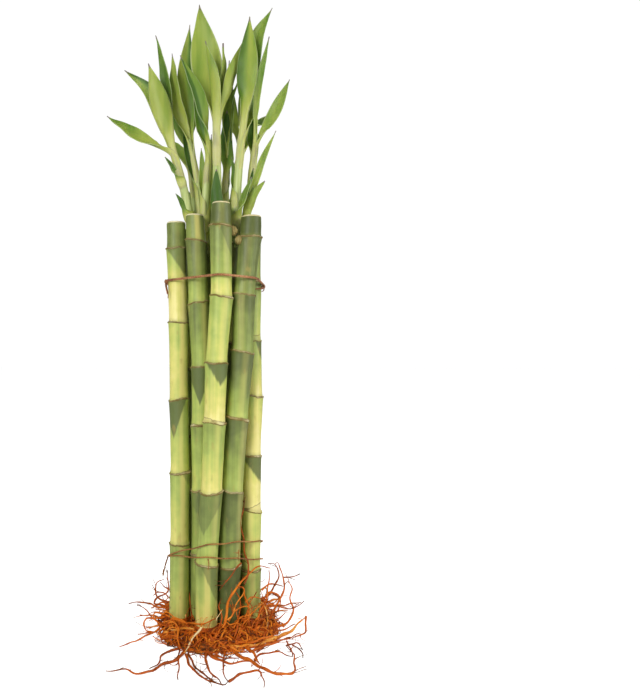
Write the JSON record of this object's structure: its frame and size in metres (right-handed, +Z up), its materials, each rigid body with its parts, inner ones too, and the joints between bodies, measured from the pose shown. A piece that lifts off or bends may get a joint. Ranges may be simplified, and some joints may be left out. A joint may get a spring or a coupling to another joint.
{
  "type": "lucky bamboo bundle",
  "caption": "Upright bundle of straight jointed green canes with leafy shoots at the head and orange roots at the foot, held by two ties",
  "frame": {"origin": "on the surface that the bundle stands on, near the middle of its foot and on the cut end of an inner cane", "axes": "+Z up along the canes; +X to the right and +Y to the back of the side that the picture shows"},
  "size_m": [0.1523, 0.1943, 0.4671],
  "materials": {
    "cane": "smooth living bark, satin",
    "leaf": "living leaf, satin",
    "root": "bare root, matt",
    "twine": "twisted fibre, matt"
  },
  "bodies": {
    "root": {"cane_left": "cane", "cane_left_front": "cane", "cane_middle_front": "cane", "cane_right_front": "cane", "cane_right": "cane", "cane_inner_left": "cane", "cane_inner_right": "cane", "cane_back_left": "cane", "cane_back_middle": "cane", "cane_back_right": "cane", "shoot_left": "leaf", "shoot_left_back": "leaf", "shoot_left_middle": "leaf", "shoot_middle": "leaf", "shoot_middle_back": "leaf", "shoot_right_middle": "leaf", "shoot_right": "leaf", "shoot_right_front": "leaf", "shoot_back_left": "leaf", "shoot_back_right": "leaf", "roots_left": "root", "roots_middle_front": "root", "roots_right_front": "root", "roots_right": "root", "roots_back_right": "root", "roots_back_middle": "root", "roots_inner_left": "root", "roots_back_left": "root", "tie_upper": "twine", "tie_lower": "twine"}
  },
  "joints": []
}
